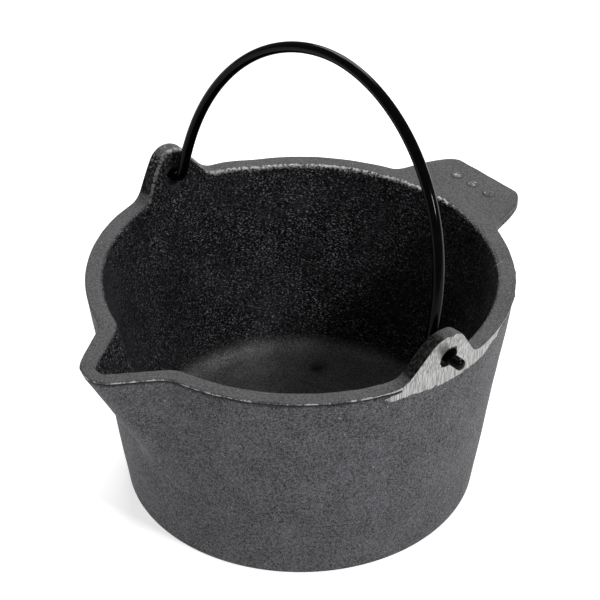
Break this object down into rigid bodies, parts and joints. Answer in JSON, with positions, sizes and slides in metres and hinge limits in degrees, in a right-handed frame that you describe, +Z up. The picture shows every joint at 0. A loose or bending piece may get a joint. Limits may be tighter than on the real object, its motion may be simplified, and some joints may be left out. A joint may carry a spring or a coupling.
{
  "type": "candle melting pot",
  "caption": "Small tapered cast-iron melting pot with a V pouring spout, a thumb tab opposite it and a wire bail swinging in two pierced ears.",
  "frame": {"origin": "centre of the pot's round underside, on the surface that it stands on", "axes": "+Z up, -Y along the spout, +Y along the thumb tab, +X and -X through the ears, parallel to the bail's hinge axis"},
  "size_m": [0.1308, 0.1488, 0.1307],
  "materials": {
    "cast_iron": "as-cast, matte dark grey with a fine sand grain, belt-ground bright on the outside of each ear",
    "bail_wire": "satin black"
  },
  "bodies": {
    "pot": {"cast_pot": "cast_iron"},
    "bail": {"wire_bail": "bail_wire"}
  },
  "joints": [
    {"name": "bail_swing", "type": "hinge", "parent": "pot", "child": "bail", "pos_m": [0, -0.001, 0.0717], "axis": [1, 0, 0], "range_deg": [-77, 106]}
  ]
}
